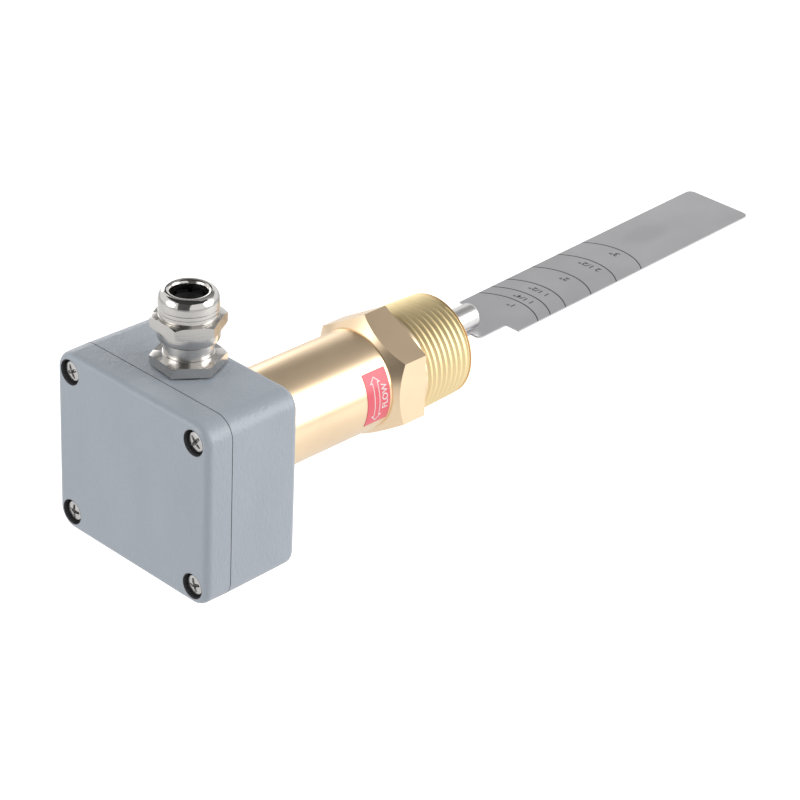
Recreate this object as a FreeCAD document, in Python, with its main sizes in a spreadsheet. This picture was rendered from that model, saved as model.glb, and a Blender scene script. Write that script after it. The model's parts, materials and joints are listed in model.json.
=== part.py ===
import FreeCAD, Part
import math
import os
import re

import Sketcher
from FreeCAD import Placement, Rotation, Vector

# Paddle flow switch: a brass stem screws into a pipe, a blade on a long lever hangs in the flow,
# and the lever's tail works a snap switch in a small cast case with a cable gland on top.
#
# The frame: +Y runs along the stem from the case to the blade's tip, +Z runs up through the
# gland, and the origin is on the stem's axis in the face of the hexagon that meets the pipe.

# Driving sizes, in millimetres and degrees.
SIZES = {
    # cast case and lid
    "case_width": 64, "case_height": 58, "case_depth": 34, "case_wall": 2.5,
    "case_corner": 6.3, "case_edge": 2.2, "case_draft": 0.75, "lid_depth": 8.9, "lid_wall": 2.6,
    # four captive lid screws in their pillars
    "screw_pitch_across": 52, "screw_pitch_up": 46, "pillar_diameter": 8.5,
    "lid_screw_diameter": 4, "lid_screw_length": 14, "lid_head_diameter": 6.5, "lid_head_height": 2.6,
    "counterbore_diameter": 7.6, "counterbore_depth": 3.3, "cross_width": 0.9, "cross_depth": 1.3,
    "gasket_width": 1.2, "gasket_height": 0.9, "gasket_inset": 0.65,
    # brass stem
    "barrel_diameter": 31.4, "barrel_length": 54, "hex_across_flats": 35, "hex_length": 12,
    "hex_turn": 1.6, "hex_chamfer_slope": 1.32, "neck_diameter": 33.2, "neck_length": 2.4,
    "thread_length": 22, "thread_large": 33.8, "thread_small": 32.6, "thread_chamfer": 0.6,
    "bore_diameter": 24, "floor_thickness": 3, "spigot_diameter": 20, "spigot_length": 9,
    "spigot_bore": 13, "ring_groove_inner": 24.2, "ring_groove_outer": 28.6, "ring_groove_depth": 1.5,
    "nut_diameter": 26, "nut_height": 4.5, "nut_slot_width": 3, "nut_slot_depth": 2,
    # pivot, lever and seal
    "pivot_setback": 5, "pin_diameter": 3, "pin_length": 18, "spacer_diameter": 5.8,
    "spacer_thickness": 1.3, "rest_tilt": 2.2, "lever_diameter": 8.2, "lever_reach": 109.5,
    "lever_tip_chamfer": 0.8, "tail_length": 15, "tail_diameter": 5, "seat_start": 83,
    "seat_height": 3.65, "bellows_length": 17, "bellows_outer": 15.2, "bellows_inner": 10.8,
    "bellows_waves": 6, "bellows_wall": 0.7, "bellows_stand": 1.4, "collar_length": 3, "collar_diameter": 14.6,
    # blade and its rivets, measured from the pivot
    "blade_thickness": 0.5, "blade_width": 25.4, "blade_end": 231.6, "blade_shoulder": 117.5,
    "tongue_width": 14.8, "tongue_start": 105.4, "strip_width": 7.4, "strip_start": 84,
    "blade_corner": 2.2, "tongue_corner": 2, "rivet_diameter": 2.5, "rivet_head_diameter": 4.6,
    "rivet_head_height": 0.9, "rivet_first": 88, "rivet_pitch": 10, "rivet_grip": 4,
    # snap switch on its bracket
    "bracket_thickness": 1.5, "bracket_width": 24, "bracket_top": 17.5, "bracket_foot": 15.5,
    "switch_width": 20, "switch_thickness": 6.4, "switch_height": 10, "switch_setback": 13,
    "switch_level": 4.4, "plunger_diameter": 2.2, "plunger_inside": 2.6, "plunger_chamber": 4.8,
    "switch_screw_pitch": 9.5, "switch_screw_diameter": 2, "switch_screw_level": 2.9,
    "switch_head_diameter": 3.8, "switch_head_height": 1.3, "tag_pitch": 7.5, "tag_width": 2.8,
    "tag_thickness": 0.5, "tag_height": 1.8,
    # set-point screw and its spring
    "adjuster_setback": 9, "adjuster_diameter": 4, "adjuster_top": 9.5, "adjuster_bottom": 18.5,
    "knob_diameter": 8, "knob_height": 3, "knob_slot_width": 1, "knob_slot_depth": 1.2,
    "spring_wire": 0.7, "spring_diameter": 4.6, "spring_turns": 3.5,
    # terminal block, earth screw and leads
    "block_width": 12, "block_depth": 19.5, "block_height": 30, "block_edge": 27.5,
    "pole_pitch": 10, "clamp_size": 6.4, "clamp_front": 2.2, "clamp_screw_diameter": 3,
    "clamp_screw_length": 3, "wire_hole_diameter": 2.2, "block_screw_diameter": 2.2,
    "block_head_diameter": 4.2, "block_head_height": 1.4, "block_screw_bite": 1.6,
    "earth_across": 20, "earth_down": 8, "earth_boss_diameter": 9, "earth_boss_height": 4,
    "earth_screw_diameter": 4, "earth_screw_bite": 4.5, "earth_head_diameter": 7,
    "earth_head_height": 2.4, "earth_washer_diameter": 8.6, "earth_washer_height": 0.8,
    "lead_diameter": 1.2, "lead_spacing": 1.5, "lead_bend": 1.1, "lead_rise": 0.3,
    # cable gland
    "gland_setback": 12.7, "gland_turn": 22.9, "gland_hex": 19, "gland_hex_height": 3,
    "gland_hex_chamfer": 0.5, "gland_neck_diameter": 14.4, "gland_neck_height": 4.7,
    "gland_collar_diameter": 17.8, "gland_collar_height": 3.9, "gland_thread_diameter": 14.8,
    "gland_thread_height": 3.9, "gland_entry_diameter": 16, "gland_entry_length": 6.9,
    "gland_bore": 10.4, "gland_seat_diameter": 12.4, "gland_seat_depth": 5, "washer_height": 0.5,
    "washer_diameter": 18.6, "locknut_hex": 20, "locknut_height": 3.5, "dome_hex_height": 3.5,
    "dome_cylinder_diameter": 17.3, "dome_cylinder_height": 4.5, "dome_height": 3.1,
    "dome_rim_diameter": 12.4, "dome_hole": 10.5, "dome_wall": 2, "dome_turn": 28,
    "cage_wall": 1.3, "cage_ring_height": 1.6, "cage_height": 4, "cage_fingers": 8,
    "finger_gap": 1.2, "seal_bore": 9, "seal_height": 8.6,
    # flow label on the barrel
    "label_gap": 10.3, "label_width": 9.2, "label_thickness": 0.15, "label_from": -24.5,
    "label_span": 63,
    # named clearances
    "running_gap": 0.05, "screw_gap": 0.1, "slack": 0.3, "loose": 0.2,
}

# Places and shared sizes that follow from the driving sizes.
PLACES = {
    "back_plane": "-(hex_length + barrel_length)",
    "wall_plane": "back_plane - case_wall",
    "seam_plane": "back_plane - case_depth + lid_depth",
    "lid_plane": "back_plane - case_depth",
    "body_depth": "case_depth - lid_depth",
    "cavity_width": "case_width - 2 * case_wall",
    "cavity_height": "case_height - 2 * case_wall",
    "cavity_corner": "case_corner - case_wall",
    "body_cavity_depth": "body_depth - case_wall",
    "lid_cavity_depth": "lid_depth - lid_wall",
    "counterbore_floor": "lid_plane + counterbore_depth",
    "gasket_outer_width": "case_width - 2 * gasket_inset",
    "gasket_outer_height": "case_height - 2 * gasket_inset",
    "gasket_outer_corner": "case_corner - gasket_inset",
    "gasket_inner_width": "gasket_outer_width - 2 * gasket_width",
    "gasket_inner_height": "gasket_outer_height - 2 * gasket_width",
    "gasket_inner_corner": "gasket_outer_corner - gasket_width",
    "pivot_plane": "back_plane - pivot_setback",
    "chamber_floor": "back_plane + floor_thickness",
    "plate_back": "wall_plane - bracket_thickness",
    "switch_plane": "pivot_plane - switch_setback",
    "switch_front": "switch_plane + switch_thickness / 2",
    "adjuster_plane": "pivot_plane - adjuster_setback",
    "tail_axis_at_switch": "-switch_setback * sin(rest_tilt * 1deg)",
    "tail_top_at_switch": "tail_axis_at_switch + tail_diameter / 2 / cos(rest_tilt * 1deg)",
    "tail_bottom_at_spring": "-adjuster_setback * sin(rest_tilt * 1deg)"
                             " - tail_diameter / 2 / cos(rest_tilt * 1deg)",
    "spring_height": "adjuster_top + tail_bottom_at_spring - spring_wire - slack",
    "block_left": "-block_edge",
    "block_right": "-block_edge + block_width",
    "block_front": "wall_plane - block_depth",
    "block_axis": "-block_edge + block_width / 2",
    "clamp_axis_depth": "switch_plane",
    "case_top": "case_height / 2",
    "gland_plane": "back_plane - gland_setback",
    "gland_hex_level": "case_top + washer_height",
    "gland_neck_level": "gland_hex_level + gland_hex_height",
    "gland_collar_level": "gland_neck_level + gland_neck_height",
    "gland_thread_level": "gland_collar_level + gland_collar_height",
    "gland_top_level": "gland_thread_level + gland_thread_height",
    "gland_bottom_level": "case_top - gland_entry_length",
    "dome_level": "gland_thread_level + slack",
    "dome_cylinder_level": "dome_level + dome_hex_height",
    "dome_start_level": "dome_cylinder_level + dome_cylinder_height",
    "dome_top_level": "dome_start_level + dome_height",
    "cage_level": "gland_top_level + slack",
    "cage_outer": "gland_thread_diameter - 2 * slack",
    "seal_level": "gland_top_level - gland_seat_depth",
    "label_plane": "-(hex_length + label_gap - label_width / 2)",
}

doc = FreeCAD.newDocument("paddle_flow_switch")


def make_sheet(name, cells, text):
    """Fill one spreadsheet: a name in column A and its value, with that alias, in column B."""
    sheet = doc.addObject("Spreadsheet::Sheet", name)
    for row, (alias, value) in enumerate(cells.items(), start=1):
        sheet.set(f"A{row}", alias)
        sheet.set(f"B{row}", text(value))
        sheet.setAlias(f"B{row}", alias)
    return sheet


def formula(text):
    """Write a size formula as an expression on the two sheets."""
    def cell(match):
        word = match.group(0)
        if word in SIZES:
            return "Sizes." + word
        return "Places." + word if word in PLACES else word
    return re.sub(r"[a-z][a-z_]+", cell, text)


sizes_sheet = make_sheet("Sizes", SIZES, str)
places_sheet = make_sheet("Places", PLACES, lambda value: "=" + formula(value))
doc.recompute()


def size(alias):
    """Read one cell of either sheet as a number."""
    sheet = sizes_sheet if alias in SIZES else places_sheet
    return float(sheet.get(alias))


def bind(item, **formulas):
    """Bind properties of an object to formulas; a double underscore stands for a dot."""
    for name, text in formulas.items():
        item.setExpression(name.replace("__", "."), formula(text))
    return item


ALONG = {
    "X": Rotation(Vector(0, 1, 0), 90),
    "Y": Rotation(Vector(1, 0, 0), -90),
    "Z": Rotation(),
    "-X": Rotation(Vector(0, 1, 0), -90),
    "-Y": Rotation(Vector(1, 0, 0), 90),
    "-Z": Rotation(Vector(1, 0, 0), 180),
}


def place(item, at, along="Z"):
    """Turn an object's own Z to a row axis and bind its base point."""
    item.Placement = Placement(Vector(), ALONG[along])
    return bind(item, Placement__Base__x=at[0], Placement__Base__y=at[1], Placement__Base__z=at[2])


def box(name, low, extent):
    """A block from its lowest corner and its extents along X, Y and Z."""
    item = doc.addObject("Part::Box", name)
    bind(item, Length=extent[0], Width=extent[1], Height=extent[2])
    return place(item, low)


def cylinder(name, diameter, length, at, along="Y"):
    item = doc.addObject("Part::Cylinder", name)
    bind(item, Radius=f"({diameter}) / 2", Height=length)
    return place(item, at, along)


def cone(name, diameter_start, diameter_end, length, at, along="Y"):
    item = doc.addObject("Part::Cone", name)
    bind(item, Radius1=f"({diameter_start}) / 2", Radius2=f"({diameter_end}) / 2", Height=length)
    return place(item, at, along)


def hexagon(name, across_flats, length, at, along="Y", turn="0"):
    """A hexagonal prism, turned about its own axis."""
    item = doc.addObject("Part::Prism", name)
    item.Polygon = 6
    bind(item, Circumradius=f"({across_flats}) / sqrt(3)", Height=length)
    holder = doc.addObject("Part::Compound", name + "_turned")
    holder.Links = [item]
    bind(item, Placement__Rotation__Angle=turn)
    return place(holder, at, along)


def join(name, parts):
    item = doc.addObject("Part::MultiFuse", name)
    item.Shapes = parts
    item.Refine = True
    return item


def cut(name, base, tools):
    """Take the tools away from the base."""
    item = doc.addObject("Part::Cut", name)
    item.Base = base
    item.Tool = tools[0] if len(tools) == 1 else join(name + "_tools", tools)
    item.Refine = True
    return item


def keep_common(name, parts):
    item = doc.addObject("Part::MultiCommon", name)
    item.Shapes = parts
    return item


def group(name, parts):
    """Like pieces that stay separate solids in one node."""
    item = doc.addObject("Part::Compound", name)
    item.Links = parts
    return item


def tube(name, outer, inner, length, at, along="Y"):
    """A plain ring: an outer cylinder with a through bore."""
    return cut(name, cylinder(name + "_outside", outer, length, at, along),
               [cylinder(name + "_bore", inner, length, at, along)])


def origin_plane(body, role):
    return next(item for item in body.Origin.OriginFeatures if item.Role == role)


def rounded_rectangle(sketch, width, height, corner):
    """Draw a rounded rectangle about the sketch's origin and bind it to three cells."""
    w, h, r = size(width), size(height), size(corner)
    quarters = ((1, 1, 0), (-1, 1, 90), (-1, -1, 180), (1, -1, 270))
    for across, up, start in quarters:
        centre = Vector(across * (w / 2 - r), up * (h / 2 - r), 0)
        circle = Part.Circle(centre, Vector(0, 0, 1), r)
        sketch.addGeometry(Part.ArcOfCircle(circle, math.radians(start), math.radians(start + 90)))
    arcs = [sketch.Geometry[index] for index in range(4)]
    for index in range(4):
        sketch.addGeometry(Part.LineSegment(arcs[index].EndPoint, arcs[(index + 1) % 4].StartPoint))
    for index in range(4):
        sketch.addConstraint(Sketcher.Constraint("Tangent", index, 2, 4 + index, 1))
        sketch.addConstraint(Sketcher.Constraint("Tangent", 4 + index, 2, (index + 1) % 4, 1))
        sketch.addConstraint(Sketcher.Constraint("Vertical" if index % 2 else "Horizontal", 4 + index))
        if index:
            sketch.addConstraint(Sketcher.Constraint("Equal", 0, index))
    sketch.addConstraint(Sketcher.Constraint("Symmetric", 0, 3, 2, 3, -1, 1))
    driven = (
        ("width", Sketcher.Constraint("DistanceX", 5, 1, 7, 1, w), width),
        ("height", Sketcher.Constraint("DistanceY", 6, 1, 4, 1, h), height),
        ("corner", Sketcher.Constraint("Radius", 0, r), corner),
    )
    for name, constraint, cell in driven:
        sketch.renameConstraint(sketch.addConstraint(constraint), name)
        sketch.setExpression("Constraints." + name, formula(cell))


def rounded_block(name, outline, length, seam="seam_plane", towards_pipe=True, draft="0", edge=None):
    """A body padded from a rounded rectangle that faces along Y.

    The sketch lies in the seam; the pad tapers by the draft and its far rim is rounded by edge.
    """
    body = doc.addObject("PartDesign::Body", name)
    sketch = body.newObject("Sketcher::SketchObject", name + "_outline")
    sketch.AttachmentSupport = (origin_plane(body, "XZ_Plane"), "")
    sketch.MapMode = "FlatFace"
    bind(sketch, AttachmentOffset__Base__z=f"-({seam})")
    rounded_rectangle(sketch, *outline)
    pad = body.newObject("PartDesign::Pad", name + "_pad")
    pad.Profile = sketch
    pad.Reversed = towards_pipe
    bind(pad, Length=length, TaperAngle=f"-({draft})")
    body.Tip = pad
    doc.recompute()
    if edge:
        sides = [edge_shape.CenterOfMass.y for edge_shape in pad.Shape.Edges]
        far = max(sides) if towards_pipe else min(sides)
        rim = [f"Edge{number}" for number, y in enumerate(sides, start=1) if abs(y - far) < 0.01]
        fillet = body.newObject("PartDesign::Fillet", name + "_rim")
        fillet.Base = (pad, rim)
        bind(fillet, Radius=edge)
        body.Tip = fillet
    return body


def corners():
    """The four lid screw places, as a suffix and formulas for X and Z."""
    for side, across in (("left", "-"), ("right", "")):
        for level, up in (("low", "-"), ("high", "")):
            yield f"{side}_{level}", f"{across}screw_pitch_across / 2", f"{up}screw_pitch_up / 2"


def cross_recess(name, at, along):
    """A cross-shaped driver recess, sunk from the head's outer face at the given point."""
    span = "lid_head_diameter * 0.55"
    half_span, half_width = f"{span} / 2", "cross_width / 2"
    if along == "-Y":
        low_wide = (f"{at[0]} - {half_span}", at[1], f"{at[2]} - {half_width}")
        low_tall = (f"{at[0]} - {half_width}", at[1], f"{at[2]} - {half_span}")
        return [box(name + "_wide", low_wide, (span, "cross_depth", "cross_width")),
                box(name + "_tall", low_tall, ("cross_width", "cross_depth", span))]
    raise ValueError("a driver recess faces along -Y")


def headed_screw(name, shank, length, head, height, at, recess=True):
    """A screw that points along +Y: the head's seat is at the given point."""
    under = cylinder(name + "_shank", shank, length, at, "Y")
    over = cylinder(name + "_head", head, height, at, "-Y")
    screw = join(name + "_blank", [over, under])
    if not recess:
        return screw
    return cut(name, screw, cross_recess(name, (at[0], f"{at[1]} - {height}", at[2]), "-Y"))


# --- the die-cast case: a deep body behind the seam, with pillars, an earth boss and two entries
shell = rounded_block("enclosure_body_shell", ("case_width", "case_height", "case_corner"),
                      "body_depth", draft="case_draft", edge="case_edge")
body_cavity = rounded_block("enclosure_body_cavity",
                            ("cavity_width", "cavity_height", "cavity_corner"), "body_cavity_depth")
hollow_shell = cut("enclosure_body_hollow", shell, [body_cavity])
pillars = [cylinder(f"pillar_{place_name}", "pillar_diameter", "body_cavity_depth",
                    (across, "seam_plane", up)) for place_name, across, up in corners()]
earth_boss = cylinder("earth_boss", "earth_boss_diameter", "earth_boss_height",
                      ("earth_across", "wall_plane", "-earth_down"), "-Y")
solid_body = join("enclosure_body_solid", [hollow_shell, earth_boss] + pillars)
body_holes = [cylinder(f"pillar_hole_{place_name}", "lid_screw_diameter + screw_gap",
                       "lid_screw_length - (seam_plane - counterbore_floor) + 1",
                       (across, "seam_plane", up)) for place_name, across, up in corners()]
body_holes += [
    cylinder("stem_hole", "spigot_diameter + 2 * screw_gap", "3 * case_wall",
             ("0", "back_plane - 2 * case_wall", "0")),
    cylinder("gland_hole", "gland_entry_diameter + 2 * screw_gap", "3 * case_wall",
             ("0", "gland_plane", "case_top - 2 * case_wall"), "Z"),
    cylinder("earth_hole", "earth_screw_diameter + screw_gap", "earth_screw_bite + slack",
             ("earth_across", "wall_plane - earth_boss_height", "-earth_down")),
]
for side, up in (("low", "-pole_pitch / 2"), ("high", "pole_pitch / 2")):
    body_holes.append(cylinder(f"block_screw_hole_{side}", "block_screw_diameter + screw_gap",
                               "block_screw_bite + slack", ("block_axis", "wall_plane", up)))
# the gland's washer and locknut need a level pad, so the drafted roof is flat around the entry
roof_pad = cylinder("gland_pad", "gland_hex * 1.2", "case_wall",
                    ("0", "gland_plane", "case_top - case_wall"), "Z")
enclosure_body = cut("enclosure_body", join("enclosure_body_with_pad", [solid_body, roof_pad]),
                     body_holes)

# --- the lid, with its gasket and four captive screws
lid_shell = rounded_block("enclosure_lid_shell", ("case_width", "case_height", "case_corner"),
                          "lid_depth", towards_pipe=False, draft="case_draft", edge="case_edge")
lid_cavity = rounded_block("enclosure_lid_cavity",
                           ("cavity_width", "cavity_height", "cavity_corner"), "lid_cavity_depth",
                           towards_pipe=False)
gasket_outside = rounded_block(
    "gasket_outside", ("gasket_outer_width", "gasket_outer_height", "gasket_outer_corner"),
    "gasket_height", towards_pipe=False)
gasket_inside = rounded_block(
    "gasket_inside", ("gasket_inner_width", "gasket_inner_height", "gasket_inner_corner"),
    "gasket_height", towards_pipe=False)
lid_gasket = cut("lid_gasket", gasket_outside, [gasket_inside])
lid_pillars = [cylinder(f"lid_pillar_{place_name}", "counterbore_diameter + case_wall",
                        "lid_cavity_depth", (across, "seam_plane", up), "-Y")
               for place_name, across, up in corners()]
lid_pillars_trimmed = keep_common("lid_pillars_trimmed", [lid_shell, join("lid_pillars", lid_pillars)])
lid_holes = [cylinder(f"counterbore_{place_name}", "counterbore_diameter", "counterbore_depth",
                      (across, "lid_plane", up)) for place_name, across, up in corners()]
lid_holes += [cylinder(f"lid_hole_{place_name}", "lid_screw_diameter + 4 * screw_gap", "lid_depth",
                       (across, "lid_plane", up)) for place_name, across, up in corners()]
enclosure_lid = cut("enclosure_lid",
                    join("enclosure_lid_solid", [cut("enclosure_lid_hollow", lid_shell, [lid_cavity]),
                                                 lid_pillars_trimmed]),
                    lid_holes + [lid_gasket])
lid_screws = group("lid_screws", [
    headed_screw(f"lid_screw_{place_name}", "lid_screw_diameter", "lid_screw_length",
                 "lid_head_diameter", "lid_head_height", (across, "counterbore_floor", up))
    for place_name, across, up in corners()])

# --- the brass stem: spigot, barrel, hexagon, neck and tapered pipe thread, bored from both ends
hex_blank = hexagon("hex_blank", "hex_across_flats", "hex_length", ("0", "-hex_length", "0"),
                    turn="30 - hex_turn")
hex_chamfer = cone("hex_chamfer", "barrel_diameter + 0.5",
                   "barrel_diameter + 0.5 + 2 * hex_length * hex_chamfer_slope", "hex_length",
                   ("0", "-hex_length", "0"))
stem_solid = join("stem_solid", [
    cylinder("spigot", "spigot_diameter", "spigot_length", ("0", "back_plane", "0"), "-Y"),
    cylinder("barrel", "barrel_diameter", "barrel_length", ("0", "back_plane", "0")),
    keep_common("stem_hexagon", [hex_blank, hex_chamfer]),
    cylinder("thread_neck", "neck_diameter", "neck_length", ("0", "0", "0")),
    cone("thread_cone", "thread_large", "thread_small", "thread_length - neck_length - thread_chamfer",
         ("0", "neck_length", "0")),
    cone("thread_end", "thread_small", "thread_small - 2 * thread_chamfer", "thread_chamfer",
         ("0", "thread_length - thread_chamfer", "0")),
])
stem_body = cut("stem_body", stem_solid, [
    cylinder("stem_bore", "bore_diameter", "thread_length - chamber_floor", ("0", "chamber_floor", "0")),
    cylinder("stem_spigot_bore", "spigot_bore", "floor_thickness + spigot_length",
             ("0", "back_plane - spigot_length", "0")),
    cylinder("pin_hole", "pin_diameter + running_gap", "spigot_diameter",
             ("-spigot_diameter / 2", "pivot_plane", "0"), "X"),
    tube("ring_groove", "ring_groove_outer", "ring_groove_inner", "ring_groove_depth",
         ("0", "back_plane", "0")),
])
stem_seal_ring = tube("stem_seal_ring", "ring_groove_outer - 2 * loose", "ring_groove_inner + 2 * loose",
                      "ring_groove_depth", ("0", "back_plane", "0"))
nut_slots = [box(f"nut_slot_{name}", low, extent) for name, low, extent in (
    ("left", ("-nut_diameter / 2", "plate_back - nut_height", "-nut_slot_width / 2"),
     ("nut_slot_depth", "nut_height", "nut_slot_width")),
    ("right", ("nut_diameter / 2 - nut_slot_depth", "plate_back - nut_height", "-nut_slot_width / 2"),
     ("nut_slot_depth", "nut_height", "nut_slot_width")),
    ("low", ("-nut_slot_width / 2", "plate_back - nut_height", "-nut_diameter / 2"),
     ("nut_slot_width", "nut_height", "nut_slot_depth")),
    ("high", ("-nut_slot_width / 2", "plate_back - nut_height", "nut_diameter / 2 - nut_slot_depth"),
     ("nut_slot_width", "nut_height", "nut_slot_depth")),
)]
stem_lock_nut = cut("stem_lock_nut",
                    cylinder("lock_nut_blank", "nut_diameter", "nut_height", ("0", "plate_back", "0"), "-Y"),
                    [cylinder("lock_nut_bore", "spigot_diameter + screw_gap", "nut_height",
                              ("0", "plate_back", "0"), "-Y")] + nut_slots)
flow_label = cut("flow_label",
                 cylinder("label_outside", "barrel_diameter + 2 * label_thickness", "label_width",
                          ("0", "label_plane - label_width / 2", "0")),
                 [cylinder("label_inside", "barrel_diameter", "label_width",
                           ("0", "label_plane - label_width / 2", "0"))])
label_sector = doc.getObject("label_outside")
label_sector.Placement = Placement(Vector(), Rotation(Vector(1, 0, 0), -90) *
                                   Rotation(Vector(0, 0, 1), -(size("label_from") + size("label_span"))))
bind(label_sector, Angle="label_span")

# --- the pivot: a pin across the spigot, with a spacer each side of the lever
pivot_pin = cylinder("pivot_pin", "pin_diameter", "pin_length", ("-pin_length / 2", "pivot_plane", "0"), "X")
spacer_start = "lever_diameter / 2 + 3 * running_gap"
pivot_spacers = group("pivot_spacers", [
    tube(f"pivot_spacer_{side}", "spacer_diameter", "pin_diameter + 2 * running_gap", "spacer_thickness",
         (start, "pivot_plane", "0"), along)
    for side, start, along in (("left", f"-({spacer_start})", "-X"), ("right", spacer_start, "X"))])


# --- the paddle: built about the pivot as its origin, then carried to the pivot at its rest tilt
def carry_to_pivot(item):
    item.Placement = Placement(Vector(), Rotation(Vector(1, 0, 0), size("rest_tilt")))
    return bind(item, Placement__Base__y="pivot_plane", Placement__Rotation__Angle="rest_tilt")


rivets = [(str(number), f"rivet_first + {number} * rivet_pitch") for number in range(2)]
lever_solid = join("lever_solid", [
    cylinder("lever_tail", "tail_diameter", "tail_length", ("0", "0", "0"), "-Y"),
    cylinder("lever_rod", "lever_diameter", "lever_reach - lever_tip_chamfer + lever_diameter * 0.6",
             ("0", "-lever_diameter * 0.6", "0")),
    cone("lever_tip", "lever_diameter", "lever_diameter - 2 * lever_tip_chamfer", "lever_tip_chamfer",
         ("0", "lever_reach - lever_tip_chamfer", "0")),
])
paddle_lever = cut("paddle_lever", lever_solid, [
    cylinder("lever_hole", "pin_diameter + 2 * running_gap", "2 * lever_diameter",
             ("-lever_diameter", "0", "0"), "X"),
    box("lever_seat", ("-lever_diameter", "seat_start", "-lever_diameter"),
        ("2 * lever_diameter", "lever_reach", "lever_diameter - seat_height")),
] + [cylinder(f"lever_rivet_hole_{name}", "rivet_diameter", "rivet_grip", ("0", along, "-seat_height"), "Z")
     for name, along in rivets])
carry_to_pivot(paddle_lever)


def blade_plate(body, name, width, start, end):
    """One rectangle of the blade's outline, added to its body."""
    plate = body.newObject("PartDesign::AdditiveBox", name)
    bind(plate, Length=width, Width=f"({end}) - ({start})", Height="blade_thickness",
         Placement__Base__x=f"-({width}) / 2", Placement__Base__y=start,
         Placement__Base__z="-(seat_height + blade_thickness)")
    return plate


def round_corners(body, name, half_width, along, radius):
    """Round the upright edges of the blade at plus and minus half_width."""
    base = body.Tip
    picked = [f"Edge{number}" for number, edge in enumerate(base.Shape.Edges, start=1)
              if abs(abs(edge.CenterOfMass.x) - half_width) < 0.01
              and abs(edge.CenterOfMass.y - along) < 0.01 and edge.BoundBox.YLength < 0.01]
    fillet = body.newObject("PartDesign::Fillet", name)
    fillet.Base = (base, picked)
    bind(fillet, Radius=radius)
    body.Tip = fillet
    doc.recompute()


paddle_blade = doc.addObject("PartDesign::Body", "paddle_blade")
blade_plate(paddle_blade, "blade_strip", "strip_width", "strip_start", "tongue_start")
blade_plate(paddle_blade, "blade_tongue", "tongue_width", "tongue_start", "blade_shoulder")
blade_plate(paddle_blade, "blade_sheet", "blade_width", "blade_shoulder", "blade_end")
doc.recompute()
round_corners(paddle_blade, "blade_tip_corners", size("blade_width") / 2, size("blade_end"), "blade_corner")
round_corners(paddle_blade, "blade_tongue_corners", size("tongue_width") / 2, size("tongue_start"),
              "tongue_corner")
for number, (name, along) in enumerate(rivets):
    hole_sketch = paddle_blade.newObject("Sketcher::SketchObject", f"rivet_hole_outline_{name}")
    hole_sketch.AttachmentSupport = (origin_plane(paddle_blade, "XY_Plane"), "")
    hole_sketch.MapMode = "FlatFace"
    middle = size("rivet_first") + number * size("rivet_pitch")
    hole_sketch.addGeometry(Part.Circle(Vector(0, middle, 0), Vector(0, 0, 1), size("rivet_diameter") / 2))
    hole_sketch.addConstraint(Sketcher.Constraint("PointOnObject", 0, 3, -2))
    for label, constraint, cell in (
            ("along", Sketcher.Constraint("DistanceY", -1, 1, 0, 3, middle), along),
            ("radius", Sketcher.Constraint("Radius", 0, size("rivet_diameter") / 2), "rivet_diameter / 2")):
        hole_sketch.renameConstraint(hole_sketch.addConstraint(constraint), label)
        hole_sketch.setExpression("Constraints." + label, formula(cell))
    pocket = paddle_blade.newObject("PartDesign::Pocket", f"rivet_hole_{name}")
    pocket.Profile = hole_sketch
    pocket.Type = "ThroughAll"
    pocket.Midplane = True
    paddle_blade.Tip = pocket
    doc.recompute()
carry_to_pivot(paddle_blade)

blade_rivets = group("blade_rivets", [
    join(f"blade_rivet_{name}", [
        cylinder(f"rivet_shank_{name}", "rivet_diameter", "rivet_grip + blade_thickness",
                 ("0", along, "-(seat_height + blade_thickness)"), "Z"),
        cone(f"rivet_head_{name}", "rivet_head_diameter", "rivet_head_diameter * 0.7", "rivet_head_height",
             ("0", along, "-(seat_height + blade_thickness)"), "-Z")])
    for name, along in rivets])
carry_to_pivot(blade_rivets)

# --- the seal: a metal bellows around the lever, closed by a collar; its foot stands just clear
#     of the chamber's floor so the whole seal can lean with the lever
wave = "bellows_length / bellows_waves"
bellows_foot = "(chamber_floor - pivot_plane + bellows_stand)"
ripples = []
for number in range(SIZES["bellows_waves"]):
    ripple = doc.addObject("Part::Torus", f"bellows_ripple_{number}")
    bind(ripple, Radius1="bellows_outer / 2 - bellows_length / bellows_waves / 2 + bellows_wall / 4",
         Radius2="bellows_length / bellows_waves / 2 - bellows_wall / 4")
    ripples.append(place(ripple, ("0", f"{bellows_foot} + ({number} + 0.5) * {wave}", "0"), "Y"))
seal_bellows = cut("seal_bellows", join("bellows_solid", ripples + [
    cylinder("bellows_core", "bellows_inner + 2 * bellows_wall", "bellows_length",
             ("0", bellows_foot, "0"))]),
    [cylinder("bellows_hole", "bellows_inner", "bellows_length", ("0", bellows_foot, "0"))])
carry_to_pivot(seal_bellows)
bellows_collar = tube("bellows_collar", "collar_diameter", "lever_diameter", "collar_length",
                      ("0", f"{bellows_foot} + bellows_length", "0"))
carry_to_pivot(bellows_collar)

# --- the bent bracket that the lock nut clamps: the switch hangs above the tail, and the
#     set-point screw stands below it
half_bracket = "-bracket_width / 2"
bracket_solid = join("bracket_solid", [
    box("bracket_plate", (half_bracket, "plate_back", "-bracket_foot"),
        ("bracket_width", "bracket_thickness", "bracket_foot + bracket_top")),
    box("bracket_roof", (half_bracket, "switch_front", "bracket_top - bracket_thickness"),
        ("bracket_width", "plate_back - switch_front", "bracket_thickness")),
    box("bracket_flange", (half_bracket, "switch_front", "switch_level + loose"),
        ("bracket_width", "bracket_thickness", "bracket_top - switch_level - loose")),
    box("bracket_shelf", (half_bracket, "switch_plane - 2 * bracket_thickness", "-bracket_foot"),
        ("bracket_width", "plate_back - switch_plane + 2 * bracket_thickness", "bracket_thickness")),
])
switch_screws = [(side, f"{across}switch_screw_pitch / 2") for side, across in (("left", "-"), ("right", ""))]
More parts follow.
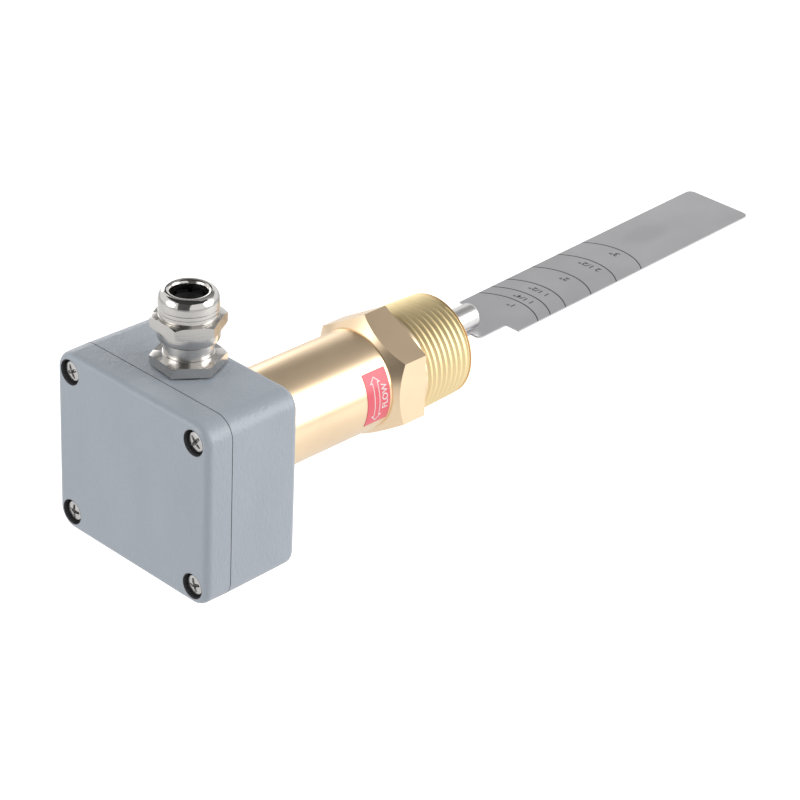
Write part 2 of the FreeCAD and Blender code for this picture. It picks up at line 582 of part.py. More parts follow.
switch_bracket = cut("switch_bracket", bracket_solid, [
    cylinder("bracket_stem_hole", "spigot_diameter + 2 * screw_gap", "bracket_thickness",
             ("0", "plate_back", "0")),
    cylinder("bracket_adjuster_hole", "adjuster_diameter + 2 * running_gap", "bracket_thickness",
             ("0", "adjuster_plane", "-bracket_foot"), "Z"),
] + [cylinder(f"bracket_switch_hole_{side}", "switch_screw_diameter + screw_gap", "bracket_thickness",
              (across, "switch_front", "switch_level + switch_screw_level"))
     for side, across in switch_screws])

switch_rear = "switch_plane - switch_thickness / 2"
microswitch_body = cut("microswitch_body",
                       box("switch_block", ("-switch_width / 2", switch_rear, "switch_level"),
                           ("switch_width", "switch_thickness", "switch_height")),
                       [cylinder("plunger_well", "plunger_diameter + 2 * running_gap", "plunger_chamber",
                                 ("0", "switch_plane", "switch_level"), "Z")] +
                       [cylinder(f"switch_hole_{side}", "switch_screw_diameter + screw_gap",
                                 "switch_thickness",
                                 (across, switch_rear, "switch_level + switch_screw_level"))
                        for side, across in switch_screws])
microswitch_plunger = cylinder("microswitch_plunger", "plunger_diameter",
                               "switch_level + plunger_inside - tail_top_at_switch - slack",
                               ("0", "switch_plane", "tail_top_at_switch + slack"), "Z")
microswitch_screws = group("microswitch_screws", [
    headed_screw(f"microswitch_screw_{side}", "switch_screw_diameter",
                 "switch_thickness + bracket_thickness", "switch_head_diameter", "switch_head_height",
                 (across, switch_rear, "switch_level + switch_screw_level"), recess=False)
    for side, across in switch_screws])
tags = [("left", "-tag_pitch"), ("middle", "0"), ("right", "tag_pitch")]
microswitch_tags = group("microswitch_tags", [
    box(f"microswitch_tag_{side}", (f"{across} - tag_width / 2", "switch_plane - tag_thickness / 2",
                                    "switch_level + switch_height"),
        ("tag_width", "tag_thickness", "tag_height")) for side, across in tags])

# --- the set-point screw, with its knurled knob below the shelf, and the range spring on top of it
adjuster_solid = join("adjuster_solid", [
    cylinder("adjuster_shank", "adjuster_diameter", "adjuster_bottom - adjuster_top",
             ("0", "adjuster_plane", "-adjuster_bottom"), "Z"),
    cylinder("adjuster_knob", "knob_diameter", "knob_height", ("0", "adjuster_plane", "-adjuster_bottom"),
             "-Z")])
adjusting_screw = cut("adjusting_screw", adjuster_solid, [
    box("adjuster_slot", ("-knob_diameter / 2", "adjuster_plane - knob_slot_width / 2",
                          "-(adjuster_bottom + knob_height)"),
        ("knob_diameter", "knob_slot_width", "knob_slot_depth"))])
spring_path = doc.addObject("Part::Helix", "spring_path")
bind(spring_path, Pitch="spring_height / spring_turns", Height="spring_height",
     Radius="spring_diameter / 2")
spring_section = doc.addObject("Part::Circle", "spring_section")
bind(spring_section, Radius="spring_wire / 2", Placement__Base__x="spring_diameter / 2")
spring_section.Placement = Placement(Vector(size("spring_diameter") / 2, 0, 0),
                                     Rotation(Vector(1, 0, 0), 90))
range_spring = doc.addObject("Part::Sweep", "range_spring")
range_spring.Sections = [spring_section]
range_spring.Spine = (spring_path, ["Edge1"])
range_spring.Solid = True
range_spring.Frenet = True
place(range_spring, ("0", "adjuster_plane", "-adjuster_top + spring_wire / 2"))

# --- the terminal block: three brass clamps with screws, held to the case's back wall
poles = [("low", "-pole_pitch"), ("middle", "0"), ("high", "pole_pitch")]
clamp_half = "(clamp_size / 2 + loose)"
block_screws = [("low", "-pole_pitch / 2"), ("high", "pole_pitch / 2")]
block_cuts = []
for name, up in poles:
    block_cuts += [
        box(f"clamp_chamber_{name}", (f"block_axis - {clamp_half}", f"clamp_axis_depth - {clamp_half}",
                                      f"{up} - {clamp_half}"),
            (f"2 * {clamp_half}",) * 3),
        cylinder(f"clamp_screw_well_{name}", "clamp_screw_diameter + 4 * screw_gap", "block_depth / 2",
                 ("block_axis", "block_front", up)),
        cylinder(f"wire_hole_{name}", "wire_hole_diameter", "block_width / 2",
                 ("block_axis", "clamp_axis_depth", up), "X"),
    ]
block_cuts += [cylinder(f"block_screw_way_{name}", "block_screw_diameter + screw_gap", "block_depth",
                        ("block_axis", "block_front", up)) for name, up in block_screws]
terminal_block = cut("terminal_block",
                     box("block_solid", ("block_left", "block_front", "-block_height / 2"),
                         ("block_width", "block_depth", "block_height")), block_cuts)
terminal_clamps = group("terminal_clamps", [
    cut(f"terminal_clamp_{name}",
        box(f"clamp_block_{name}", ("block_axis - clamp_size / 2", "clamp_axis_depth - clamp_size / 2",
                                    f"{up} - clamp_size / 2"), ("clamp_size",) * 3),
        [cylinder(f"clamp_wire_way_{name}", "wire_hole_diameter", "2 * clamp_size",
                  ("block_axis - clamp_size", "clamp_axis_depth", up), "X"),
         cylinder(f"clamp_thread_{name}", "clamp_screw_diameter + screw_gap", "clamp_size",
                  ("block_axis", "clamp_axis_depth - clamp_size", up))]) for name, up in poles])
clamp_screws = group("clamp_screws", [
    cut(f"clamp_screw_{name}",
        cylinder(f"clamp_screw_blank_{name}", "clamp_screw_diameter", "clamp_screw_length",
                 ("block_axis", "block_front + clamp_front - 2", up)),
        [box(f"clamp_screw_slot_{name}", ("block_axis - clamp_screw_diameter / 2",
                                          "block_front + clamp_front - 2", f"{up} - 0.3"),
             ("clamp_screw_diameter", "0.8", "0.6"))]) for name, up in poles])
terminal_block_screws = group("terminal_block_screws", [
    headed_screw(f"terminal_block_screw_{name}", "block_screw_diameter", "block_depth + block_screw_bite",
                 "block_head_diameter", "block_head_height", ("block_axis", "block_front", up),
                 recess=False) for name, up in block_screws])

# --- the earth screw and its washer, on a boss inside the case
earth_face = "wall_plane - earth_boss_height"
earth_washer = tube("earth_washer", "earth_washer_diameter", "earth_screw_diameter + 2 * screw_gap",
                    "earth_washer_height", ("earth_across", earth_face, "-earth_down"), "-Y")
earth_screw = headed_screw("earth_screw", "earth_screw_diameter",
                           "earth_screw_bite + earth_washer_height", "earth_head_diameter",
                           "earth_head_height",
                           ("earth_across", f"{earth_face} - earth_washer_height", "-earth_down"))


# --- the leads: each rises from a tag, runs over to its own column and drops to its clamp
def lead_path(points, bend):
    """Straight runs joined by tangent arcs of one radius; every turn is a right angle."""
    edges, start = [], points[0]
    for before, corner, after in zip(points, points[1:], points[2:]):
        back = (before - corner).normalize() * bend
        ahead = (after - corner).normalize() * bend
        middle = corner + (back + ahead) * (1 - math.sqrt(0.5))
        edges.append(Part.LineSegment(start, corner + back).toShape())
        edges.append(Part.Arc(corner + back, middle, corner + ahead).toShape())
        start = corner + ahead
    edges.append(Part.LineSegment(start, points[-1]).toShape())
    return Part.Wire(edges)


def make_lead(number):
    """Lead 0 starts at the left tag and takes the innermost column to the lowest clamp."""
    depth = size("switch_plane")
    tag_top = size("switch_level") + size("switch_height") + size("tag_height")
    start_x = (number - 1) * size("tag_pitch")
    over = tag_top + size("lead_rise") + size("lead_bend") + number * size("lead_spacing")
    inner_column = -size("switch_width") / 2 - size("lead_diameter")
    column = inner_column - number * size("lead_spacing")
    pole = (number - 1) * size("pole_pitch")
    clamp_face = size("block_axis") + size("clamp_size") / 2
    points = [Vector(start_x, depth, tag_top), Vector(start_x, depth, over), Vector(column, depth, over),
              Vector(column, depth, pole), Vector(clamp_face, depth, pole)]
    path = lead_path(points, min(size("lead_bend"), 0.9 * (column - size("block_right"))))
    profile = Part.Wire(Part.Circle(points[0], Vector(0, 0, 1), size("lead_diameter") / 2).toShape())
    return path.makePipeShell([profile], True, False)


lead_wires = doc.addObject("Part::Feature", "lead_wires")
lead_wires.Shape = Part.Compound([make_lead(number) for number in range(3)])

# --- the cable gland: washer, body, locknut, seal, clamping cage and dome nut, all about one axis
gland_axis = ("0", "gland_plane")


def on_gland(kind, name, *sizes_and_length, level, along="Z", **extra):
    """A round or six-sided shape on the gland's axis that starts at a level."""
    return kind(name, *sizes_and_length, (gland_axis[0], gland_axis[1], level), along, **extra)


gland_washer = tube("gland_washer", "washer_diameter", "gland_entry_diameter + 2 * screw_gap",
                    "washer_height", (*gland_axis, "case_top"), "Z")
gland_hex = keep_common("gland_hex_part", [
    on_gland(hexagon, "gland_hex_blank", "gland_hex", "gland_hex_height", level="gland_hex_level",
             turn="gland_turn + 30"),
    on_gland(cone, "gland_hex_crown", "2 * gland_hex", "gland_hex + 2 * gland_hex_chamfer",
             "gland_hex_height", level="gland_hex_level")])
gland_solid = join("gland_solid", [
    gland_hex,
    on_gland(cylinder, "gland_entry", "gland_entry_diameter", "gland_entry_length + washer_height",
             level="gland_bottom_level"),
    on_gland(cylinder, "gland_neck", "gland_neck_diameter", "gland_neck_height",
             level="gland_neck_level"),
    on_gland(cylinder, "gland_collar", "gland_collar_diameter", "gland_collar_height",
             level="gland_collar_level"),
    on_gland(cylinder, "gland_thread", "gland_thread_diameter", "gland_thread_height",
             level="gland_thread_level")])
gland_body = cut("gland_body", gland_solid, [
    on_gland(cylinder, "gland_through_bore", "gland_bore", "gland_top_level - gland_bottom_level",
             level="gland_bottom_level"),
    on_gland(cylinder, "gland_seat", "gland_seat_diameter", "gland_seat_depth", level="seal_level")])
gland_locknut = cut("gland_locknut",
                    on_gland(hexagon, "locknut_blank", "locknut_hex", "locknut_height",
                             level="case_top - case_wall", along="-Z"),
                    [on_gland(cylinder, "locknut_bore", "gland_entry_diameter + screw_gap",
                              "locknut_height", level="case_top - case_wall", along="-Z")])
seal_foot = on_gland(cylinder, "seal_foot", "gland_seat_diameter - 2 * screw_gap",
                     "gland_seat_depth - screw_gap", level="seal_level")
seal_top = on_gland(cylinder, "seal_top", "cage_outer - 2 * cage_wall - 2 * loose", "seal_height",
                    level="seal_level")
gland_seal = cut("gland_seal", join("seal_solid", [seal_foot, seal_top]),
                 [on_gland(cylinder, "seal_hole", "seal_bore", "seal_height", level="seal_level")])

finger_gaps = []
for number in range(SIZES["cage_fingers"]):
    slot = doc.addObject("Part::Box", f"finger_gap_{number}")
    bind(slot, Length="cage_outer", Width="finger_gap", Height="cage_height")
    turned = doc.addObject("Part::Compound", f"finger_gap_{number}_turned")
    turned.Links = [slot]
    bind(slot, Placement__Base__y="-finger_gap / 2")
    turned.Placement = Placement(Vector(), Rotation(Vector(0, 0, 1), number * 360 / SIZES["cage_fingers"]))
    finger_gaps.append(bind(turned, Placement__Base__y="gland_plane",
                            Placement__Base__z="cage_level + cage_ring_height"))
gland_clamp_cage = cut("gland_clamp_cage",
                       on_gland(cylinder, "cage_blank", "cage_outer", "cage_height", level="cage_level"),
                       [on_gland(cylinder, "cage_hole", "cage_outer - 2 * cage_wall", "cage_height",
                                 level="cage_level")] + finger_gaps)

dome_ball = doc.addObject("Part::Sphere", "dome_ball")
rise = "((dome_cylinder_diameter ^ 2 - dome_rim_diameter ^ 2) / 4 - dome_height ^ 2) / (2 * dome_height)"
bind(dome_ball, Radius=f"sqrt((dome_cylinder_diameter / 2) ^ 2 + ({rise}) ^ 2)")
place(dome_ball, (*gland_axis, f"dome_start_level - ({rise})"))
dome_cap = keep_common("dome_cap", [dome_ball, on_gland(
    cylinder, "dome_cap_blank", "dome_cylinder_diameter", "dome_height", level="dome_start_level")])
dome_hex = keep_common("dome_hex_part", [
    on_gland(hexagon, "dome_hex_blank", "gland_hex", "dome_hex_height", level="dome_level",
             turn="dome_turn + 30"),
    on_gland(cone, "dome_hex_crown", "2 * gland_hex", "gland_hex + 2 * gland_hex_chamfer",
             "dome_hex_height", level="dome_level")])
dome_solid = join("dome_solid", [
    dome_hex, dome_cap,
    on_gland(cylinder, "dome_cylinder", "dome_cylinder_diameter", "dome_cylinder_height",
             level="dome_cylinder_level")])
gland_dome_nut = cut("gland_dome_nut", dome_solid, [
    on_gland(cylinder, "dome_thread", "gland_thread_diameter + 2 * running_gap",
             "cage_level + cage_height + slack - dome_level", level="dome_level"),
    on_gland(cylinder, "dome_hole_way", "dome_hole", "dome_top_level - dome_level", level="dome_level")])

doc.recompute()

NODES = [
    enclosure_body, enclosure_lid, lid_gasket, lid_screws, stem_body, stem_seal_ring, stem_lock_nut,
    flow_label, pivot_pin, pivot_spacers, paddle_lever, paddle_blade, blade_rivets, seal_bellows,
    bellows_collar, switch_bracket, microswitch_body, microswitch_plunger, microswitch_screws,
    microswitch_tags, adjusting_screw, range_spring, terminal_block, terminal_clamps, clamp_screws,
    terminal_block_screws, earth_washer, earth_screw, lead_wires, gland_washer, gland_body,
    gland_locknut, gland_seal, gland_clamp_cage, gland_dome_nut,
]

broken = [item.Name for item in doc.Objects if "Invalid" in item.State or "Error" in item.State]
if broken:
    raise RuntimeError("objects that failed to recompute: " + ", ".join(broken))
for item in NODES:
    if item.Shape.isNull() or not item.Shape.isValid() or not item.Shape.Solids:
        raise RuntimeError("no valid solid in " + item.Label)

os.makedirs("parts", exist_ok=True)
for item in NODES:
    item.Shape.exportStep(f"parts/{item.Label}.step")
    print(f"{item.Label}: {len(item.Shape.Solids)} solid(s), {item.Shape.Volume:.1f} mm3")
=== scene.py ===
import json
import math

import bmesh
import bpy
import numpy as np
from mathutils import Matrix, Vector


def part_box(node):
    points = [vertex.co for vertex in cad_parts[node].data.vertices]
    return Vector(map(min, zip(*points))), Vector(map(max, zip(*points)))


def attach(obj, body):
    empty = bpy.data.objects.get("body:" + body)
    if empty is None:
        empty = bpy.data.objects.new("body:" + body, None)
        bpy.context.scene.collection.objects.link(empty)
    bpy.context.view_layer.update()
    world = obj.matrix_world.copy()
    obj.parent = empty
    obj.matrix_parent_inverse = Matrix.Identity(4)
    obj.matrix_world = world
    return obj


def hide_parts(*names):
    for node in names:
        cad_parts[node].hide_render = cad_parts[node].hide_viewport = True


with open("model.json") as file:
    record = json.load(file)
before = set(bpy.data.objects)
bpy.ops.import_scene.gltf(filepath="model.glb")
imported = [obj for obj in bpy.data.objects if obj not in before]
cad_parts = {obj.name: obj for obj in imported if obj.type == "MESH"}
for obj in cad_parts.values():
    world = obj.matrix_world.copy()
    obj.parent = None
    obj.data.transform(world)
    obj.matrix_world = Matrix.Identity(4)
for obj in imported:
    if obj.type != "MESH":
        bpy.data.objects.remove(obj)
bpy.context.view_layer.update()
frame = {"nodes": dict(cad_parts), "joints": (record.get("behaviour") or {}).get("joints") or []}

MM = 0.001


# ---- The view ------------------------------------------------------------------------------------
# A long lens looks down on the switch from its lid side, with the blade running away to the
# upper right and the camera rolled a little.
view_turn, view_height, view_roll = np.radians((43.218, 29.438, 2.861))
towards_camera = np.array((math.sin(view_turn) * math.cos(view_height),
                           -math.cos(view_turn) * math.cos(view_height), math.sin(view_height)))
level_right = np.array((math.cos(view_turn), math.sin(view_turn), 0.0))
level_up = np.cross(towards_camera, level_right)
view_right = level_right * math.cos(view_roll) + level_up * math.sin(view_roll)
view_up = level_up * math.cos(view_roll) - level_right * math.sin(view_roll)
lens = bpy.data.cameras.new("lens")
lens.lens = 122.78
lens.sensor_width = 36
lens.clip_end = 20
camera = bpy.data.objects.new("camera", lens)
bpy.context.scene.collection.objects.link(camera)
camera.matrix_world = Matrix.Translation((0.49883, -0.52293, 0.39619)) @ Matrix(
    np.column_stack((view_right, view_up, towards_camera)).tolist()).to_4x4()
bpy.context.scene.camera = camera
bpy.context.scene.view_settings.view_transform = "Standard"


# ---- The case's enamel ---------------------------------------------------------------------------
# Die-cast aluminium, sprayed with a blue-grey stoving enamel. The spray leaves a fine
# orange-peel skin over the slight waviness of the casting.
def new_finish(name, colour, metallic, roughness):
    """An empty finish: its material, its node tree and its shader."""
    material = bpy.data.materials.new(name)
    material.use_nodes = True
    tree = material.node_tree
    shader = tree.nodes["Principled BSDF"]
    shader.inputs["Base Color"].default_value = (*colour, 1)
    shader.inputs["Metallic"].default_value = metallic
    shader.inputs["Roughness"].default_value = roughness
    return material, tree, shader


def stretched_noise(tree, scale, stretch, detail=3.0):
    """Noise on object coordinates, in features per metre, drawn out along an axis by stretch."""
    place = tree.nodes.new("ShaderNodeTexCoord")
    mapping = tree.nodes.new("ShaderNodeMapping")
    mapping.inputs["Scale"].default_value = stretch
    noise = tree.nodes.new("ShaderNodeTexNoise")
    noise.inputs["Scale"].default_value = scale
    noise.inputs["Detail"].default_value = detail
    tree.links.new(place.outputs["Object"], mapping.inputs["Vector"])
    tree.links.new(mapping.outputs["Vector"], noise.inputs["Vector"])
    return noise.outputs["Fac"]


def relief(tree, shader, height, depth):
    """A bump of the given depth in metres; a second call adds its bump over the first."""
    bump = tree.nodes.new("ShaderNodeBump")
    bump.inputs["Distance"].default_value = depth
    below = shader.inputs["Normal"].links
    if below:
        tree.links.new(below[0].from_socket, bump.inputs["Normal"])
    tree.links.new(height, bump.inputs["Height"])
    tree.links.new(bump.outputs["Normal"], shader.inputs["Normal"])


def shade_between(tree, shader, height, low, high):
    """Blend the colour between two values by a pattern."""
    ramp = tree.nodes.new("ShaderNodeValToRGB")
    ramp.color_ramp.elements[0].position = 0.3
    ramp.color_ramp.elements[1].position = 0.7
    ramp.color_ramp.elements[0].color = (*low, 1)
    ramp.color_ramp.elements[1].color = (*high, 1)
    tree.links.new(height, ramp.inputs["Fac"])
    tree.links.new(ramp.outputs["Color"], shader.inputs["Base Color"])


enamel, tree, shader = new_finish("stoved_enamel", (0.37, 0.41, 0.455), 0.0, 0.34)
thin_enamel, full_enamel = (0.362, 0.402, 0.450), (0.382, 0.421, 0.468)
shade_between(tree, shader, stretched_noise(tree, 60, (1, 1, 0.5)), thin_enamel, full_enamel)
relief(tree, shader, stretched_noise(tree, 1300, (1, 1, 0.55), 3), 0.00016)
relief(tree, shader, stretched_noise(tree, 90, (1, 1, 1), 2), 0.0003)


def painted_counterbore_shade(tree, shader, across, face, up, radius):
    """Painted shade: the screws' counterbores are darkened to stand for the shadow deep in each recess.
    The dark zone round each screw is a long ball that ends well before the case's back."""
    squeeze = 0.3
    place = tree.nodes.new("ShaderNodeTexCoord")
    folded = tree.nodes.new("ShaderNodeVectorMath")
    folded.operation = "ABSOLUTE"
    flat = tree.nodes.new("ShaderNodeVectorMath")
    flat.operation = "MULTIPLY"
    flat.inputs[1].default_value = (1, squeeze, 1)
    away = tree.nodes.new("ShaderNodeVectorMath")
    away.operation = "DISTANCE"
    away.inputs[1].default_value = (across, face * squeeze, up)
    edge = tree.nodes.new("ShaderNodeMapRange")
    edge.inputs["From Min"].default_value = radius
    edge.inputs["From Max"].default_value = radius + 0.0001
    blend = tree.nodes.new("ShaderNodeMix")
    blend.data_type = "RGBA"
    # The near-black colour of the painted shade in the counterbores.
    blend.inputs["A"].default_value = (0.06, 0.06, 0.065, 1)
    tree.links.new(place.outputs["Object"], folded.inputs[0])
    tree.links.new(folded.outputs[0], flat.inputs[0])
    tree.links.new(flat.outputs[0], away.inputs[0])
    tree.links.new(away.outputs["Value"], edge.inputs["Value"])
    tree.links.new(edge.outputs["Result"], blend.inputs["Factor"])
    tree.links.new(shader.inputs["Base Color"].links[0].from_socket, blend.inputs["B"])
    tree.links.new(blend.outputs["Result"], shader.inputs["Base Color"])


screw_low, screw_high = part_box("lid_screws")
head_radius = 3.25
counterbore_radius = 3.9
screw_across = (screw_high.x - screw_low.x) / MM / 2 - head_radius
screw_up = (screw_high.z - screw_low.z) / MM / 2 - head_radius
lid_face = abs(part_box("enclosure_lid")[0].y)
# Painted shade in the four counterbores round the lid screws.
painted_counterbore_shade(tree, shader, screw_across * MM, lid_face, screw_up * MM, counterbore_radius * MM)


def dress(node, material):
    """Give a CAD node its finish; its shape is right as it is."""
    frame["nodes"][node].data.materials.clear()
    frame["nodes"][node].data.materials.append(material)


dress("enclosure_body", enamel)
dress("enclosure_lid", enamel)


# ---- Rubber and plastic inside the case ----------------------------------------------------------
# Pressed and moulded pieces: the lid's gasket, the stem's O-ring, the snap switch, its red
# plunger, the terminal block and the leads. Each has the fine matt skin of its mould.
def moulded(name, colour, roughness):
    """Rubber or plastic with a faint mottling and a fine grain."""
    material, tree, shader = new_finish(name, colour, 0.0, roughness)
    tint = tuple(min(1.0, c * 1.18 + 0.004) for c in colour)
    shade_between(tree, shader, stretched_noise(tree, 400, (1, 1, 1)), colour, tint)
    relief(tree, shader, stretched_noise(tree, 2600, (1, 1, 1), 2), 0.00003)
    return material


black_rubber = moulded("black_rubber", (0.018, 0.018, 0.019), 0.62)
for node in ("lid_gasket", "stem_seal_ring", "gland_washer"):
    dress(node, black_rubber)
dress("gland_clamp_cage", moulded("cage_nylon", (0.025, 0.025, 0.027), 0.35))
dress("microswitch_body", moulded("switch_black", (0.03, 0.03, 0.035), 0.42))
dress("microswitch_plunger", moulded("plunger_red", (0.62, 0.04, 0.03), 0.3))
dress("terminal_block", moulded("block_grey", (0.60, 0.60, 0.56), 0.45))
dress("lead_wires", moulded("lead_blue", (0.03, 0.06, 0.22), 0.35))


# ---- Plated steel: screws, bracket, washers ------------------------------------------------------
# Small zinc-plated pieces, pressed or headed, with a soft grey sheen and faint handling marks.
def plated(name, colour, roughness):
    """Plated metal with a cloudy tone and a much finer grain."""
    clouds, grain = 900, 2700
    material, tree, shader = new_finish(name, colour, 1.0, roughness)
    worn = tuple(c * 0.86 for c in colour)
    shade_between(tree, shader, stretched_noise(tree, clouds, (1, 1, 1)), worn, colour)
    relief(tree, shader, stretched_noise(tree, grain, (1, 1, 1), 2), 0.000012)
    return material


zinc = plated("zinc_plate", (0.60, 0.60, 0.59), 0.30)
for node in ("microswitch_screws", "clamp_screws", "terminal_block_screws", "earth_screw", "earth_washer",
             "switch_bracket"):
    dress(node, zinc)
dress("range_spring", plated("spring_wire", (0.42, 0.42, 0.43), 0.32))
dress("pivot_pin", plated("pin_steel", (0.64, 0.64, 0.63), 0.2))
dress("pivot_spacers", plated("spacer_steel", (0.64, 0.64, 0.63), 0.25))


# ---- The brass stem ------------------------------------------------------------------------------
# Turned from one bar of hexagon brass: a smooth barrel, the hexagon left at full size with its
# rear corners chamfered, and a tapered pipe thread. It is left bright, with fine lathe rings.
def lathe_turned(name, colour, roughness, stretch, pitch=0.00028, depth=0.000006):
    """Bright turned metal: close rings across the axis that stretch keeps, and soft cloudy tone."""
    material, tree, shader = new_finish(name, colour, 1.0, roughness)
    warm = tuple(min(1.0, c * 1.05) for c in colour)
    dull = tuple(c * 0.93 for c in colour)
    shade_between(tree, shader, stretched_noise(tree, 45, (1, 1, 1)), dull, warm)
    relief(tree, shader, stretched_noise(tree, 1 / pitch, stretch, 2), depth)
    return material


def surface(points, around=False, along=False):
    """The vertices and four-sided faces of a grid of points, joined up where it wraps."""
    rows, columns = points.shape[:2]
    row = np.arange(rows if around else rows - 1)
    column = np.arange(columns if along else columns - 1)
    r, c = np.meshgrid(row, column, indexing="ij")
    r_next, c_next = (r + 1) % rows, (c + 1) % columns
    faces = np.stack((r * columns + c, r_next * columns + c, r_next * columns + c_next,
                      r * columns + c_next), axis=-1).reshape(-1, 4)
    return points.reshape(-1, 3), faces


def make_piece(name, shells, material, body, node=None, crease=32):
    """Put one or more closed surfaces into a mesh, close their seams and turn them outwards."""
    starts = np.cumsum([0] + [len(points) for points, faces in shells[:-1]])
    points = np.concatenate([points for points, faces in shells])
    faces = np.concatenate([faces + start for (_, faces), start in zip(shells, starts)])
    mesh = bpy.data.meshes.new(name)
    mesh.from_pydata(points.tolist(), [], faces.tolist())
    shaped = bmesh.new()
    shaped.from_mesh(mesh)
    bmesh.ops.remove_doubles(shaped, verts=shaped.verts, dist=0.000002)
    bmesh.ops.dissolve_degenerate(shaped, edges=shaped.edges, dist=0.000001)
    bmesh.ops.recalc_face_normals(shaped, faces=shaped.faces)
    shaped.to_mesh(mesh)
    shaped.free()
    mesh.shade_smooth()
    mesh.set_sharp_from_angle(angle=math.radians(crease))
    mesh.materials.append(material)
    piece = bpy.data.objects.new(name, mesh)
    bpy.context.scene.collection.objects.link(piece)
    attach(piece, body)
    if node:
        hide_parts(node)
    return piece


def about_stem(radius, angle, along):
    """A point at a radius and an angle from +X towards +Z, some way along the stem's axis."""
    radius, angle, along = np.broadcast_arrays(radius, angle, along)
    return np.stack((radius * np.cos(angle), along, radius * np.sin(angle)), axis=-1)


def turned(profile, place, steps=160):
    """A closed profile of (distance along, radius) pairs, swept once around an axis."""
    profile = np.array(profile, float) * MM
    angle = np.linspace(0, 2 * np.pi, steps, endpoint=False)
    return surface(place(profile[:, 1][:, None], angle[None, :], profile[:, 0][:, None]), True, True)


def six_sided(across, turn, low, high, inside, place, crown_low=99.0, crown_high=99.0, slope=1.3,
              steps=16):
    """A hexagon ring; at each end a cone of the given radius and slope takes its corners off."""
    angle = np.linspace(0, 2 * np.pi, 6 * steps, endpoint=False)
    full = across / 2 / np.cos(angle % (np.pi / 3) - np.pi / 6)
    at_low, at_high = np.minimum(full, crown_low), np.minimum(full, crown_high)
    rows = ((low, inside), (low, at_low), (low + (full - at_low) / slope, full),
            (high - (full - at_high) / slope, full), (high, at_high), (high, inside))
    along = np.stack([np.broadcast_to(row[0], angle.shape) for row in rows]) * MM
    radius = np.stack([np.broadcast_to(row[1], angle.shape) for row in rows]) * MM
    return surface(place(radius, angle[None, :] + math.radians(turn), along), True, True)


def helical_thread(start, end, large, small, pitch, depth, inside, place, steps=144):
    """A tapered V thread: rows follow the helix, so every crest and root is a line of the mesh.
    One pitch is a list of places along it and heights, both as shares: a V with rounded ends."""
    rounded_v = np.array(((0.0, 0.0), (0.07, 0.02), (0.14, 0.14), (0.36, 0.84), (0.43, 0.97), (0.5, 1.0),
                          (0.57, 0.97), (0.64, 0.84), (0.86, 0.14), (0.93, 0.02)))
    turns = int((end - start) / pitch) + 3
    fraction = (np.arange(turns)[:, None] + rounded_v[None, :, 0]).reshape(-1)
    height = np.tile(rounded_v[:, 1], turns)[:, None]
    angle = np.linspace(0, 2 * np.pi, steps + 1)[None, :]
    free = start + pitch * (fraction[:, None] - angle / (2 * np.pi))
    along = np.clip(free, start, end)
    fade = np.clip((along - start) / (0.5 * pitch), 0, 1) * np.clip((end - along) / (0.5 * pitch), 0, 1)
    crest = large + (small - large) * (along - start) / (end - start)
    radius = crest - depth * (1 - height * fade)
    first, last, bore = (np.full_like(along[:1], value) for value in (start, end, inside))
    along = np.concatenate((first, along, last)) * MM
    radius = np.concatenate((bore, radius, bore)) * MM
    return surface(place(radius, angle, along), True, False)


shoulder, hex_rear, case_back, stem_mouth, spigot_end = 0.0, -12.0, -66.0, 22.0, -75.0
barrel_radius, neck_radius, bore_radius = 15.7, 16.6, 12.0
spigot_radius, spigot_bore, chamber_floor = 10.0, 6.5, -63.0
hex_flats, hex_turn, hex_slope = 35.0, -28.4, 1.32
thread_start, thread_end, thread_pitch, thread_depth = 2.4, 21.6, 2.209, 0.8
thread_large, thread_small, thread_inside = 16.9, 16.3, 14.6
across_lathe = (0.02, 1, 0.02)
brass = lathe_turned("bright_brass", (0.93, 0.72, 0.485), 0.29, across_lathe)
cut_brass = lathe_turned("cut_brass", (1.0, 0.80, 0.47), 0.5, across_lathe)
stem_core = turned((
    (spigot_end, spigot_bore), (spigot_end, spigot_radius - 0.4), (spigot_end + 0.4, spigot_radius),
    (case_back, spigot_radius), (case_back, barrel_radius - 0.4), (case_back + 0.4, barrel_radius),
    (hex_rear, barrel_radius), (shoulder, barrel_radius), (shoulder, neck_radius),
    (thread_start - 0.3, neck_radius), (thread_start, neck_radius - 0.3), (thread_start, 15.2),
    (stem_mouth - 0.6, 14.9), (stem_mouth - 0.6, 16.2), (stem_mouth, 15.6),
    (stem_mouth, bore_radius + 0.3), (stem_mouth - 0.3, bore_radius), (chamber_floor, bore_radius),
    (chamber_floor, spigot_bore)), about_stem)
stem_hex = six_sided(hex_flats, hex_turn, hex_rear, shoulder, barrel_radius - 0.5, about_stem,
                     crown_low=barrel_radius + 0.25, slope=hex_slope)
stem_thread = helical_thread(thread_start, thread_end, thread_large, thread_small, thread_pitch,
                             thread_depth, thread_inside, about_stem)
make_piece("brass_stem", [stem_core, stem_hex], brass, "housing", "stem_body")
make_piece("stem_pipe_thread", [stem_thread], cut_brass, "housing")
dress("stem_lock_nut", brass)
dress("adjusting_screw", brass)


# ---- The flow label ------------------------------------------------------------------------------
# A red vinyl label wrapped on the barrel beside the hexagon. A two-headed arrow shows that the
# paddle takes flow from either side, with the plain word beside it.
def on_barrel(angle, along, radius):
    """A point on the barrel from degrees and millimetres, in metres."""
    return about_stem(radius * MM, np.radians(angle), along * MM)


def wrapped_sheet(angle, along, inner, outer):
    """A thin closed skin on the barrel: the outer grid, folded back under itself to the inner."""
    top, bottom = on_barrel(angle, along, outer), on_barrel(angle, along, inner)
    ring = np.concatenate((top, bottom[::-1]), axis=0)
    middle = (top + bottom) / 2
    fold = np.concatenate((middle, middle[::-1]), axis=0)
    return surface(np.concatenate((fold[:, :1], ring, fold[:, -1:]), axis=1), True, False)


